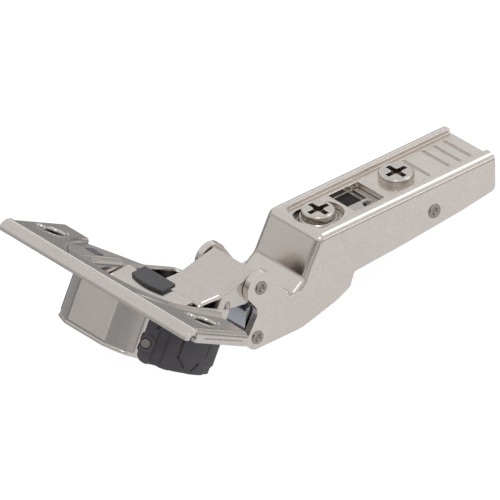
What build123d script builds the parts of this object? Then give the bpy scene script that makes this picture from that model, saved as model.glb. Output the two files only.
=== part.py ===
"""Concealed cup hinge with a built-in damper, standing fully open.

Millimetres. The origin is the middle of the seat under the adapter, where the
hinge clips on its mounting plate. +X runs along the arm to its rear end, +Z is
up through the arm's top, and the near side of the photograph is -Y.
"""

from build123d import *
import os
from math import atan2, cos, radians, sin

os.makedirs("parts", exist_ok=True)

# Arm
arm_sheet = 1.5
arm_half_width = 8.0
arm_top = 5.0
arm_length = 64.4
arm_edge_radius = 1.6
strip_half_width = 5.5
strip_depth = 0.9
strip_start = 18.0
strip_sheet = 1.2
window_start = 29.2
window_length = 8.1
window_half_width = 4.1

# Seat of the mounting plate, from the upper arm pin
seat_x = 40.0
adapter_sheet = 1.2
slide_gap = 0.1

# Pivots in the side view, from the upper arm pin
lower_pin = (-0.95, -11.3)
pin_radius = 1.3
pin_gap = 0.05
rivet_head_radius = 1.5
rivet_head_height = 0.3
rivet_dimple_radius = 0.85
rivet_dimple_depth = 0.45

# Screws
side_screw_x = 22.8
side_screw_head_radius = 3.55
side_screw_thread_radius = 2.4
collar_radius = 4.1
depth_screw_x = 44.2
depth_screw_head_radius = 3.75
cam_radius = 1.25
cam_gap = 0.15
depth_travel = 1.5
cam_turn = 60
screw_head_height = 1.5
cross_width = 1.2
cross_length = 5.2
cross_depth = 1.2

# Catch at the rear
catch_pivot = (47.4, -1.6)
catch_pin_radius = 1.25
catch_sheet = 1.2
catch_half_width = 4.9

# Cup and its flange
open_tilt = 26.3
flange_front = (-34.8, 14.4)
flange_sheet = 1.2
flange_half_length = 28.2
flange_depth = 15.0
roll_radius = 2.5
tab_radius = 1.5
tab_drop = 2.7
tab_start = 0.25
roll_end_gap = 0.25
hole_spacing = 45.0
hole_u = 7.5
screw_hole_radius = 2.1
cup_offset = 17.0
cup_radius = 17.4
cup_sheet = 0.8
cup_depth = 13.3
cup_bottom_radius = 1.2
cup_corner_radius = 1.8
cup_corner_cut = 38.0
housing_depth = 13.8
cup_far_side = 9.9
cup_near_side = 12.8
cup_rear = 33.4
plate_drop = 2.0
plate_radius = 19.5
cup_pin_outer_at = (26.0, -8.163)
cup_pin_inner_at = (26.789, -4.872)
cup_pin_radius = 1.25
inner_pin_radius = 1.0
inner_eye_at = (27.402, -4.637)
inner_eye_play = 0.68
inner_eye_wall = 0.5

# Links
link_sheet = 1.2
outer_link_half_width = 6.35
inner_link_half_width = 3.4
inner_hub_half_width = 6.1

# Damper lever with its switch
lever_pivot_at = (8.9, -5.2)
lever_pin_radius = 0.8
lever_sheet = 0.9
lever_far_side = 8.0
lever_near_side = 10.6
plate_near_side = 10.9
switch_length = 9.2
switch_width = 4.2
switch_height = 0.6
switch_front_radius = 16.0

# Planes of the side view: local x runs along the arm, local y is up, and a
# positive extrusion goes towards the near side
sheet_under_strip = arm_top - strip_depth - strip_sheet
adapter_top = sheet_under_strip - slide_gap
seat_z = adapter_top - adapter_sheet
pin_a = (-seat_x, -seat_z)
side_view = Plane(origin=(pin_a[0], 0, pin_a[1]), x_dir=(1, 0, 0), z_dir=(0, -1, 0))
top_view = Plane(origin=(pin_a[0], 0, pin_a[1]), x_dir=(1, 0, 0), z_dir=(0, 0, 1))

# Planes of the cup: local u runs in the flange towards the arm and n is the
# flange's outward normal
tilt = radians(open_tilt)
cup_u = (cos(tilt), 0, -sin(tilt))
cup_n = (sin(tilt), 0, cos(tilt))
cup_origin = (pin_a[0] + flange_front[0], 0, pin_a[1] + flange_front[1])
cup_plan = Plane(origin=cup_origin, x_dir=cup_u, z_dir=cup_n)
cup_side = Plane(origin=cup_origin, x_dir=cup_u, z_dir=(0, -1, 0))
# Looking along the flange's length: local x is the length (towards the far
# side), local y is n
cup_across = Plane(origin=cup_origin, x_dir=(0, 1, 0), z_dir=cup_u)


def cup_to_side(u, n):
    """Turn a point of the cup's side view into the arm's side view."""
    x = flange_front[0] + u * cos(tilt) + n * sin(tilt)
    z = flange_front[1] - u * sin(tilt) + n * cos(tilt)
    return (x, z)


def between(low, high):
    """Distances for an extrusion that runs from low to high."""
    return high - low


def on_side(edge, half_width):
    """Tell if an edge lies in one of the two outer side faces."""
    return abs(abs(edge.center().Y) - half_width) < 0.01


# Arm: one pressing, a channel with a long sunken strip in its top, a sloping
# front face and two ears that carry the links
nose = (16.3, arm_top)
valley = (11.9, -3.2)
lip = (9.0, -5.4)
ear_radius = 3.55
lower_ear_radius = 2.7
slope_angle = atan2(nose[1] - valley[1], nose[0] - valley[0])
lip_angle = atan2(valley[1] - lip[1], valley[0] - lip[0])
valley_inside = (
    valley[0] + arm_sheet * sin((slope_angle + lip_angle) / 2) * 1.03,
    valley[1] - arm_sheet * cos((slope_angle + lip_angle) / 2) * 1.03,
)
lip_inside = (lip[0] + arm_sheet * sin(lip_angle), lip[1] - arm_sheet * cos(lip_angle))
nose_inside = (
    valley_inside[0] + (sheet_under_strip - valley_inside[1]) / sin(slope_angle) * cos(slope_angle),
    sheet_under_strip,
)



def is_upper_fold(edge):
    """Tell if an edge runs over the top, the nose, the slope or the valley."""
    x = edge.center().X - pin_a[0]
    z = edge.center().Z - pin_a[1]
    return valley[0] - 1 < x < arm_length - 1 and z > valley[1] - 0.5


with BuildPart() as arm:
    with BuildSketch(side_view):
        with BuildLine():
            FilletPolyline(
                nose,
                (arm_length - 0.2, arm_top),
                (arm_length, -3.4),
                (54.5, -4.7),
                (37.6, -6.1),
                (25.4, -6.8),
                (24.3, -9.9),
                (20.7, -11.6),
                (11.2, -14.1),
                (lower_pin[0], lower_pin[1] - lower_ear_radius),
                (lower_pin[0] - 2.3, lower_pin[1] + 1.3),
                (-0.5, -5.3),
                (-3.2, -1.4),
                (2.5, 2.5),
                (7.9, -5.4),
                (lip[0], lip[1]),
                valley,
                radius=[2.0, 0, 1.2, 8, 8, 0.8, 0.8, 8, 8, 0, 0, 2.0, 0, 0, 0, 0, 2.5],
                close=True,
            )
        make_face()
        Circle(ear_radius)
        with Locations(lower_pin):
            Circle(lower_ear_radius)
    extrude(amount=arm_half_width, both=True)
    folded = arm.edges().filter_by(lambda e: on_side(e, arm_half_width))
    fillet(folded.filter_by(is_upper_fold), arm_edge_radius)
    # The open channel underneath
    with BuildSketch(side_view):
        with BuildLine():
            FilletPolyline(
                (arm_length + 2, sheet_under_strip),
                nose_inside,
                valley_inside,
                lip_inside,
                lip,
                (2.5, 6.5),
                (-8, 6.5),
                (-8, -20),
                (arm_length + 2, -20),
                radius=[0, 0.8, 1.0, 0, 0, 0, 0, 0, 0],
                close=True,
            )
        make_face()
    extrude(amount=arm_half_width - arm_sheet, both=True, mode=Mode.SUBTRACT)
    # The sunken strip, open at the rear end
    with BuildSketch(top_view.offset(arm_top)):
        with BuildLine():
            FilletPolyline(
                (strip_start, strip_half_width),
                (arm_length + 1, strip_half_width),
                (arm_length + 1, -strip_half_width),
                (strip_start, -strip_half_width),
                radius=[2.2, 0, 0, 2.2],
                close=True,
            )
        make_face()
    extrude(amount=-strip_depth, mode=Mode.SUBTRACT)
    # Openings for the two screws and the square window
    with BuildSketch(top_view.offset(arm_top)):
        with Locations((side_screw_x, 0)):
            SlotCenterToCenter(2 * depth_travel, 2 * collar_radius + 0.2)
        with Locations((window_start + window_length / 2, 0)):
            RectangleRounded(window_length, 2 * window_half_width, 0.5)
        with Locations((depth_screw_x, 0)):
            Circle(depth_screw_head_radius - 0.65)
    extrude(amount=-(strip_depth + strip_sheet), mode=Mode.SUBTRACT)
    # Stamped ribs at the rear of the strip
    with BuildSketch(top_view.offset(arm_top - strip_depth)):
        for rib_x in (49.7, 55.2, 58.2, 61.1):
            with Locations((rib_x, 0)):
                RectangleRounded(0.8, 8.2, 0.35)
    extrude(amount=-0.35, mode=Mode.SUBTRACT)
    # Holes for the link rivets and the catch pin
    with BuildSketch(side_view):
        Circle(pin_radius + pin_gap)
        with Locations(lower_pin):
            Circle(pin_radius + pin_gap)
        with Locations(catch_pivot):
            Circle(catch_pin_radius + pin_gap)
    extrude(amount=arm_half_width + 1, both=True, mode=Mode.SUBTRACT)
arm.part.label = "arm"
export_step(arm.part, "parts/arm.step")

# Adapter: inner channel that slides in the arm and clips on the plate
adapter_half_width = arm_half_width - arm_sheet - slide_gap
adapter_start = 19.0
adapter_end = 60.5
adapter_wall_bottom = -4.4
cam_offset = depth_travel / sin(radians(cam_turn))
cam_nearest = cam_offset * cos(radians(cam_turn))
with BuildPart() as adapter:
    with BuildSketch(side_view):
        with BuildLine():
            FilletPolyline(
                (adapter_start, adapter_top),
                (adapter_end, adapter_top),
                (adapter_end + 1.5, 0.5),
                (adapter_end - 2, adapter_wall_bottom + 1.4),
                (adapter_start + 6, adapter_wall_bottom),
                (adapter_start + 1.5, adapter_wall_bottom),
                radius=[1.0, 1.0, 1.0, 1.5, 1.5, 1.0],
                close=True,
            )
        make_face()
    extrude(amount=adapter_half_width, both=True)
    with BuildSketch(side_view):
        with Locations((seat_x, seat_z - 15)):
            Rectangle(60, 30)
    extrude(amount=adapter_half_width - adapter_sheet, both=True, mode=Mode.SUBTRACT)
    with BuildSketch(top_view.offset(adapter_top)):
        with Locations((side_screw_x, 0)):
            Circle(side_screw_thread_radius + 0.3)
        with Locations((window_start + window_length / 2 - 0.6, 1.9)):
            RectangleRounded(window_length - 1.6, 4.2, 0.4)
        with Locations((window_start + window_length - 2.6, -2.2)):
            Circle(1.3)
        with Locations((depth_screw_x, (cam_nearest + cam_offset) / 2)):
            SlotCenterToCenter(cam_offset - cam_nearest, 2 * (cam_radius + cam_gap), rotation=90)
    extrude(amount=-adapter_sheet, mode=Mode.SUBTRACT)
    # Hooks that catch the plate's front edge
    with BuildSketch(side_view):
        with Locations((adapter_start + 4.2, adapter_wall_bottom + 2.0)):
            RectangleRounded(2.2, 2.6, 0.5)
    extrude(amount=adapter_half_width + 1, both=True, mode=Mode.SUBTRACT)
    # Clearance for the catch pin over the arm's travel
    with BuildSketch(side_view):
        with Locations(catch_pivot):
            SlotCenterToCenter(4.6, 2 * catch_pin_radius + 0.5)
    extrude(amount=adapter_half_width + 1, both=True, mode=Mode.SUBTRACT)
adapter.part.label = "adapter"
export_step(adapter.part, "parts/adapter.step")

# Threaded collar of the side screw, riveted on the adapter
collar_height = 1.15
with BuildPart() as collar:
    with BuildSketch(top_view.offset(adapter_top)):
        with Locations((side_screw_x, 0)):
            Circle(collar_radius)
            Circle(side_screw_thread_radius + 0.05, mode=Mode.SUBTRACT)
    extrude(amount=collar_height)
    chamfer(collar.edges().filter_by(GeomType.CIRCLE).group_by(Axis.Z)[-1], 0.3)
collar.part.label = "side_adjust_collar"
export_step(collar.part, "parts/side_adjust_collar.step")


def cross_recess(plane):
    """Solid of a cross recess that opens at the plane and narrows downwards."""
    with BuildPart() as recess:
        with BuildSketch(plane):
            Rectangle(cross_length, cross_width)
            Rectangle(cross_width, cross_length)
            Rectangle(cross_length * 0.4, cross_length * 0.4, rotation=45)
        extrude(amount=-cross_depth, taper=8)
    return recess.part


# Front screw: moves the door sideways
side_screw_top = 5.55
side_screw_plane = Plane(
    origin=(pin_a[0] + side_screw_x, 0, pin_a[1] + side_screw_top), z_dir=(0, 0, 1)
)
side_recess = cross_recess(side_screw_plane)
with BuildPart() as side_screw:
    with BuildSketch(side_screw_plane):
        Circle(side_screw_head_radius)
    extrude(amount=-screw_head_height)
    fillet(side_screw.edges().filter_by(GeomType.CIRCLE).group_by(Axis.Z)[-1], 0.55)
    with BuildSketch(side_screw_plane.offset(-screw_head_height)):
        Circle(side_screw_thread_radius)
    extrude(amount=-(side_screw_top - screw_head_height - seat_z - 0.1))
    chamfer(side_screw.edges().filter_by(GeomType.CIRCLE).group_by(Axis.Z)[0], 0.4)
    add(side_recess, mode=Mode.SUBTRACT)
side_screw.part.label = "side_adjust_screw"
export_step(side_screw.part, "parts/side_adjust_screw.step")

# Rear screw: its eccentric stud shifts the arm on the adapter
depth_screw_seat = arm_top - strip_depth + 0.02
depth_screw_plane = Plane(
    origin=(pin_a[0] + depth_screw_x, 0, pin_a[1] + depth_screw_seat + screw_head_height),
    z_dir=(0, 0, 1),
)
depth_recess = cross_recess(depth_screw_plane)
with BuildPart() as depth_screw:
    with BuildSketch(depth_screw_plane):
        Circle(depth_screw_head_radius)
    extrude(amount=-screw_head_height)
    fillet(depth_screw.edges().filter_by(GeomType.CIRCLE).group_by(Axis.Z)[-1], 0.55)
    with BuildSketch(depth_screw_plane.offset(-screw_head_height)):
        Circle(depth_screw_head_radius - 0.75)
    extrude(amount=-(strip_sheet + 0.02))
    with BuildSketch(depth_screw_plane.offset(-screw_head_height - strip_sheet - 0.02)):
        with Locations((0, cam_offset)):
            Circle(cam_radius)
    extrude(amount=-adapter_sheet)
    add(depth_recess, mode=Mode.SUBTRACT)
depth_screw.part.label = "depth_adjust_screw"
export_step(depth_screw.part, "parts/depth_adjust_screw.step")


def riveted_pin(radius, head_radius, place):
    """A pin through the arm's two walls, with a low head on each end."""
    with BuildPart() as pin:
        with BuildSketch(side_view):
            with Locations(place):
                Circle(radius)
        extrude(amount=arm_half_width, both=True)
        for side in (1, -1):
            with BuildSketch(side_view.offset(side * arm_half_width)):
                with Locations(place):
                    Circle(head_radius)
            extrude(amount=side * rivet_head_height, taper=20)
            with BuildSketch(side_view.offset(side * (arm_half_width + rivet_head_height))):
                with Locations(place):
                    Circle(rivet_dimple_radius)
            extrude(amount=-side * rivet_dimple_depth, taper=35, mode=Mode.SUBTRACT)
    return pin.part


# Catch: sprung lever at the rear that snaps under the plate
catch_reach = 9.5
with BuildPart() as catch:
    with BuildSketch(side_view):
        with BuildLine():
            FilletPolyline(
                (catch_pivot[0] - 2.4, catch_pivot[1] + 2.0),
                (catch_pivot[0] + 2.2, catch_pivot[1] + 2.4),
                (catch_pivot[0] + catch_reach, catch_pivot[1] + 1.4),
                (catch_pivot[0] + catch_reach + 2.6, catch_pivot[1] - 0.8),
                (catch_pivot[0] + catch_reach + 1.2, catch_pivot[1] - 2.4),
                (catch_pivot[0] + 2.0, catch_pivot[1] - 3.4),
                (catch_pivot[0] - 3.2, catch_pivot[1] - 4.2),
                (catch_pivot[0] - 3.6, catch_pivot[1] - 2.2),
                radius=[1.8, 1.5, 1.2, 0.8, 0.8, 1.5, 0.4, 1.0],
                close=True,
            )
        make_face()
    extrude(amount=catch_half_width, both=True)
    with BuildSketch(side_view):
        with BuildLine():
            FilletPolyline(
                (catch_pivot[0] - 6, catch_pivot[1] + 6),
                (catch_pivot[0] + catch_reach + 0.6, catch_pivot[1] + 6),
                (catch_pivot[0] + catch_reach + 1.2, catch_pivot[1] - 0.8),
                (catch_pivot[0] + catch_reach - 0.4, catch_pivot[1] - 1.3),
                (catch_pivot[0] + 2.0, catch_pivot[1] - 2.25),
                (catch_pivot[0] - 6, catch_pivot[1] - 3.2),
                radius=[0, 0.4, 0.4, 0.4, 0.4, 0],
                close=True,
            )
        make_face()
    extrude(amount=catch_half_width - catch_sheet, both=True, mode=Mode.SUBTRACT)
    with BuildSketch(side_view):
        with Locations(catch_pivot):
            Circle(catch_pin_radius + pin_gap)
    extrude(amount=catch_half_width + 1, both=True, mode=Mode.SUBTRACT)
catch.part.label = "clip_lever"
export_step(catch.part, "parts/clip_lever.step")

catch_pin = riveted_pin(catch_pin_radius, catch_pin_radius + 0.35, catch_pivot)
catch_pin.label = "clip_lever_pin"
export_step(catch_pin, "parts/clip_lever_pin.step")

# Spring of the catch: coils round the pin, one leg on the catch
spring_wire = 0.7
spring_turns = 4
spring_mean_radius = catch_pin_radius + spring_wire / 2 + 0.12
spring_pitch = spring_wire + 0.12
spring_length = spring_turns * spring_pitch
with BuildPart() as catch_spring:
    with BuildLine() as spring_path:
        Helix(
            spring_pitch,
            spring_length,
            spring_mean_radius,
            center=(pin_a[0] + catch_pivot[0], spring_length / 2, pin_a[1] + catch_pivot[1]),
            direction=(0, -1, 0),
        )
    with BuildSketch(Plane(origin=spring_path.line @ 0, z_dir=spring_path.line % 0)):
        Circle(spring_wire / 2)
    sweep()
catch_spring.part.label = "clip_spring"
export_step(catch_spring.part, "parts/clip_spring.step")

# Rivets of the links in the arm's ears. The upper ones are two short rivets,
# so the curved inner link can pass between them.
cheek_inside = outer_link_half_width - link_sheet
with BuildPart() as upper_rivets:
    for side in (1, -1):
        with BuildSketch(side_view.offset(side * (cheek_inside - 0.5))):
            Circle(pin_radius)
        extrude(amount=side * between(cheek_inside - 0.5, arm_half_width))
        with BuildSketch(side_view.offset(side * arm_half_width)):
            Circle(rivet_head_radius)
        extrude(amount=side * rivet_head_height, taper=20)
        with BuildSketch(side_view.offset(side * (arm_half_width + rivet_head_height))):
            Circle(rivet_dimple_radius)
        extrude(amount=-side * rivet_dimple_depth, taper=35, mode=Mode.SUBTRACT)
upper_rivets.part.label = "arm_rivets_upper"
export_step(upper_rivets.part, "parts/arm_rivets_upper.step")

lower_rivet = riveted_pin(pin_radius, rivet_head_radius, lower_pin)
lower_rivet.label = "arm_pin_lower"
export_step(lower_rivet, "parts/arm_pin_lower.step")

# Outer link: a wide folded plate with two cheeks
cup_pin_c = cup_to_side(*cup_pin_outer_at)
inner_eye = cup_to_side(*inner_eye_at)
web_sheet = 1.0
web_rear = (-0.2, 3.4)
web_bend = (-9.2, 1.35)
web_front = (-14.2, 1.55)
with BuildPart() as outer_link:
    with BuildSketch(side_view):
        with BuildLine():
            FilletPolyline(
                web_rear,
                web_bend,
                web_front,
                (web_front[0] - 0.5, 0.3),
                (cup_pin_c[0] - 2.2, cup_pin_c[1] - 0.5),
                (cup_pin_c[0] + 0.9, cup_pin_c[1] - 2.1),
                (-9.9, -2.1),
                (-6.2, -2.9),
                (-2.6, -3.4),
                (0.6, -2.5),
                (2.4, 0.2),
                radius=[0, 3.0, 0, 0.8, 1.4, 1.4, 3.0, 3.0, 1.5, 1.0, 1.8],
                close=True,
            )
        make_face()
        Circle(2.5)
        with Locations(cup_pin_c):
            Circle(2.3)
    extrude(amount=outer_link_half_width, both=True)
    web_edges = outer_link.edges().filter_by(lambda e: on_side(e, outer_link_half_width))
    fillet(web_edges.filter_by(lambda e: e.center().Z > pin_a[1] + 1.0 and e.length > 3), 0.9)
    with BuildSketch(side_view):
        with BuildLine():
            FilletPolyline(
                (6, 2.6),
                (0.9, 2.35),
                (-0.4, web_rear[1] - 1.35),
                (web_bend[0], web_bend[1] - web_sheet),
                (web_front[0] + 0.2, web_front[1] - web_sheet),
                (web_front[0] - 0.1, web_front[1] + 1.5),
                (-30, 3),
                (-30, -9),
                (6, -9),
                radius=[0, 0.5, 0.5, 2.0, 0, 0, 0, 0, 0],
                close=True,
            )
        make_face()
    extrude(amount=cheek_inside, both=True, mode=Mode.SUBTRACT)
    with BuildSketch(side_view):
        Circle(pin_radius + pin_gap)
        with Locations(cup_pin_c):
            Circle(cup_pin_radius + pin_gap)
    extrude(amount=outer_link_half_width + 1, both=True, mode=Mode.SUBTRACT)
outer_link.part.label = "outer_link"
export_step(outer_link.part, "parts/outer_link.step")

# Inner link: thick curved hook from the lower pin over the door's edge into
# the cup
inner_eye_radius = inner_pin_radius + inner_eye_play + inner_eye_wall
with BuildPart() as inner_link:
    with BuildSketch(side_view):
        with BuildLine():
            FilletPolyline(
                (lower_pin[0] + 1.7, lower_pin[1]),
                (0.9, -5.4),
                (-1.3, -1.5),
                (-4.2, -0.05),
                (-9.0, -0.3),
                (inner_eye[0] + 0.4, inner_eye[1] + inner_eye_radius - 0.05),
                inner_eye,
                (inner_eye[0] + 0.9, inner_eye[1] - inner_eye_radius + 0.2),
                (-9.6, -3.1),
                (-4.6, -2.75),
                (-2.0, -4.5),
                (lower_pin[0] - 1.9, lower_pin[1]),
                radius=[0, 2.5, 1.6, 1.6, 2.0, 0, 0, 0, 2, 1.2, 1.4, 0],
                close=True,
            )
        make_face()
        with Locations(inner_eye):
            Circle(inner_eye_radius)
        with Locations(lower_pin):
            Circle(2.7)
    extrude(amount=inner_link_half_width, both=True)
    with BuildSketch(side_view):
        with BuildLine():
            FilletPolyline(
                (lower_pin[0] + 1.7, lower_pin[1]),
                (0.9, -5.4),
                (0.2, -4.0),
                (-2.4, -5.2),
                (lower_pin[0] - 1.9, lower_pin[1]),
                radius=[0, 2.5, 0.5, 0.8, 0],
                close=True,
            )
        make_face()
        with Locations(lower_pin):
            Circle(2.7)
    extrude(amount=inner_hub_half_width, both=True)
    with BuildSketch(side_view):
        with Locations(inner_eye):
            Circle(inner_pin_radius + inner_eye_play)
        with Locations(lower_pin):
            Circle(pin_radius + pin_gap)
    extrude(amount=inner_hub_half_width + 1, both=True, mode=Mode.SUBTRACT)
inner_link.part.label = "inner_link"
export_step(inner_link.part, "parts/inner_link.step")

# Cup: one deep drawing with the screw flange, its front edge rolled over and
# its two ends turned down. In the cup's plan, local y is the far side.
cup_inside_far = cup_far_side - cup_sheet
cup_inside_near = cup_near_side - cup_sheet
plate_end = 28.0
rear_wall_top = -4.2
plate_slope = plate_drop / (plate_end - 2)
opening_radius = 14.8
floor_n = -(cup_depth - cup_sheet)


# The drawn cup's near front corner is cut off, and the housing fills the cut
front_cut_start = (3.94, -11.3)
front_cut_end = (7.5, -cup_near_side)
front_cut_angle = atan2(front_cut_end[1] - front_cut_start[1], front_cut_end[0] - front_cut_start[0])


def front_cut_line(inset, reach):
    """The cut's line, moved inwards and drawn out at both its ends."""
    shift = (-inset * sin(front_cut_angle), inset * cos(front_cut_angle))
    along = (reach * cos(front_cut_angle), reach * sin(front_cut_angle))
    return (
        (front_cut_start[0] + shift[0] - along[0], front_cut_start[1] + shift[1] - along[1]),
        (front_cut_end[0] + shift[0] + along[0], front_cut_end[1] + shift[1] + along[1]),
    )


def cup_region(radius, front, rear, far_side, near_side, corner_cut, corner_radius, inset):
    """Plan of the drawn cup: a circle cut flat at its front and sides."""
    with BuildSketch(Plane.XY) as region:
        with Locations((cup_offset, 0)):
            Circle(radius)
        with Locations(((front + rear) / 2, (far_side - near_side) / 2)):
            Rectangle(rear - front, far_side + near_side, mode=Mode.INTERSECT)
        with BuildLine():
            Polyline((corner_cut, 0), (corner_cut - 20, -20), (corner_cut + 20, -20), close=True)
        make_face(mode=Mode.SUBTRACT)
        with BuildLine():
            cut_line = front_cut_line(inset, 4)
            Polyline(cut_line[0], cut_line[1], (cut_line[1][0] - 8, cut_line[1][1] - 8), close=True)
        make_face(mode=Mode.SUBTRACT)
        fillet(region.vertices(), corner_radius)
    return region.sketch


corner_cut_inside = cup_corner_cut - cup_sheet / cos(radians(45))
cup_front = 0.5
cup_outside = cup_region(
    cup_radius, cup_front, cup_rear, cup_far_side, cup_near_side, cup_corner_cut,
    cup_corner_radius, 0,
)
cup_inside = cup_region(
    cup_radius - cup_sheet, cup_front + cup_sheet, cup_rear - cup_sheet,
    cup_inside_far, cup_inside_near, corner_cut_inside, cup_corner_radius - cup_sheet,
    cup_sheet,
)
cup_mouth = cup_region(
    opening_radius, 0, plate_end + 8, cup_inside_far, cup_inside_near, corner_cut_inside,
    cup_corner_radius - cup_sheet, cup_sheet,
)

with BuildPart() as central_plate:
    with BuildSketch(cup_side):
        with BuildLine():
            Polyline(
                (-0.01, 0),
                (2, 0),
                (plate_end, -plate_drop),
                (plate_end, -plate_drop - flange_sheet),
                (2, -flange_sheet),
                (-0.01, -flange_sheet),
                close=True,
            )
        make_face()
    extrude(amount=plate_radius, both=True)
    with BuildSketch(cup_plan.offset(-6)):
        with BuildLine():
            FilletPolyline(
                (0, -19.0), (flange_depth, -19.4), (19.8, -15.8), (plate_end, -8.6),
                (plate_end, 8.6), (19.8, 15.8), (flange_depth, 19.4), (0, 19.0),
                radius=[0, 0.5, 3, 0.5, 0.5, 3, 0.5, 0], close=True,
            )
        make_face()
        with Locations((cup_offset, 0)):
            Circle(plate_radius + 0.02, mode=Mode.INTERSECT)
    extrude(amount=8, mode=Mode.INTERSECT)

with BuildPart() as drawn_cup:
    with BuildSketch(cup_plan.offset(-cup_depth)):
        add(cup_outside)
    extrude(amount=cup_depth - 1.0)
    bottom = drawn_cup.faces().sort_by(Axis(cup_origin, cup_n))[0]
    fillet(bottom.edges(), cup_bottom_radius)

mouth_edge_radius = 0.6


def is_far_rim(edge):
    """Tell if an edge is the straight upper rim of the mouth's far side."""
    place = cup_plan.to_local_coords(edge.center())
    level = -(place.X - 2) * plate_slope
    return abs(place.Y - cup_inside_far) < 0.05 and abs(place.Z - level) < 0.25 and edge.length > 5


with BuildPart() as cup:
    # Wings
    with BuildSketch(cup_plan):
        with Locations((flange_depth / 2, 0)):
            Rectangle(flange_depth, 2 * (flange_half_length - tab_radius))
        with Locations((cup_offset, 0)):
            Circle(plate_radius, mode=Mode.SUBTRACT)
    extrude(amount=-flange_sheet)
    step_edges = cup.edges().filter_by(GeomType.CIRCLE)
    top_step = step_edges.filter_by(
        lambda e: abs((e.center() - Vector(*cup_origin)).dot(Vector(*cup_n))) < 0.01
    )
    fillet(top_step, 0.9)
    add(central_plate.part)
    # Drawn cup under the plate
    add(drawn_cup.part)
    # Cavity and mouth
    with BuildSketch(cup_plan.offset(floor_n)):
        add(cup_inside)
    extrude(amount=-floor_n - flange_sheet - 0.3, mode=Mode.SUBTRACT)
    with BuildSketch(cup_plan.offset(-5)):
        add(cup_mouth)
    extrude(amount=8, mode=Mode.SUBTRACT)
    # The sheet turns down into the mouth's far side with a soft edge
    fillet(cup.edges().filter_by(is_far_rim), mouth_edge_radius)
    # Rear wall lowered where the links leave the cup
    with BuildSketch(cup_side):
        with BuildLine():
            Polyline(
                (plate_end - 1.5, 3),
                (plate_end - 1.5, rear_wall_top),
                (cup_rear + 1, rear_wall_top),
                (cup_rear + 1, 3),
                close=True,
            )
        make_face()
    extrude(amount=outer_link_half_width + 1.2, both=True, mode=Mode.SUBTRACT)
    # Rolled front edge
    with BuildSketch(cup_side):
        with Locations((0, -roll_radius)):
            Circle(roll_radius)
            Circle(roll_radius - flange_sheet, mode=Mode.SUBTRACT)
        with Locations((-roll_radius / 2 + 0.01, -roll_radius / 2)):
            Rectangle(roll_radius + 0.02, roll_radius, mode=Mode.INTERSECT)
    extrude(amount=flange_half_length - roll_end_gap, both=True)
    # Turned-down ends
    for side in (1, -1):
        with BuildSketch(cup_across.offset(tab_start)):
            with Locations((side * (flange_half_length - tab_radius), -tab_radius)):
                Circle(tab_radius)
                Circle(tab_radius - flange_sheet, mode=Mode.SUBTRACT)
            with Locations((side * (flange_half_length - tab_radius / 2), -tab_radius / 2)):
                Rectangle(tab_radius + 0.02, tab_radius, mode=Mode.INTERSECT)
            with Locations((side * (flange_half_length - flange_sheet / 2), -(tab_radius + tab_drop) / 2)):
                Rectangle(flange_sheet, tab_drop - tab_radius + 0.02)
        extrude(amount=flange_depth - tab_start)
    # Dimpled screw holes
    for side in (1, -1):
        with BuildSketch(cup_plan.offset(-flange_sheet)):
            with Locations((hole_u, side * hole_spacing / 2)):
                Circle(screw_hole_radius + 2.4)
        extrude(amount=-1.1, taper=35)
        with BuildSketch(cup_plan):
            with Locations((hole_u, side * hole_spacing / 2)):
                Circle(3.55)
        extrude(amount=-1.45, taper=45, mode=Mode.SUBTRACT)
        with BuildSketch(cup_plan):
            with Locations((hole_u - 1.6, side * hole_spacing / 2 + 2.3)):
                Circle(1.5)
        extrude(amount=-0.45, taper=30, mode=Mode.SUBTRACT)
        with BuildSketch(cup_plan.offset(1)):
            with Locations((hole_u, side * hole_spacing / 2)):
                Circle(screw_hole_radius)
        extrude(amount=-6, mode=Mode.SUBTRACT)
    # Holes for the pins
    with BuildSketch(cup_side):
        with Locations(cup_pin_outer_at):
            Circle(cup_pin_radius + pin_gap)
        with Locations(lever_pivot_at):
            Circle(lever_pin_radius + pin_gap)
    extrude(amount=cup_near_side + 1, both=True, mode=Mode.SUBTRACT)
    # Square hole for the tab of the far filler
    with BuildSketch(cup_plan.offset(1)):
        with Locations((11.4, 14.2)):
            Rectangle(2.5, 3.4)
    extrude(amount=-5, mode=Mode.SUBTRACT)
cup.part.label = "cup"
export_step(cup.part, "parts/cup.step")


def cup_pin(radius, start, end, place):
    """A plain pin in the cup; start and end are distances towards the near side."""
    with BuildPart() as pin:
        with BuildSketch(cup_side.offset(start)):
            with Locations(place):
                Circle(radius)
        extrude(amount=end - start)
    return pin.part


# Pins of the two links in the cup
stud_end = cheek_inside - 0.3
near_stud_end = cup_corner_cut - cup_pin_outer_at[0] - cup_pin_radius
far_stud = cup_pin(cup_pin_radius, -cup_far_side, -stud_end, cup_pin_outer_at)
near_stud = cup_pin(cup_pin_radius, stud_end, near_stud_end, cup_pin_outer_at)
with BuildPart() as outer_studs:
    add(far_stud)
    add(near_stud)
outer_studs.part.label = "cup_studs_outer"
export_step(outer_studs.part, "parts/cup_studs_outer.step")

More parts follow.
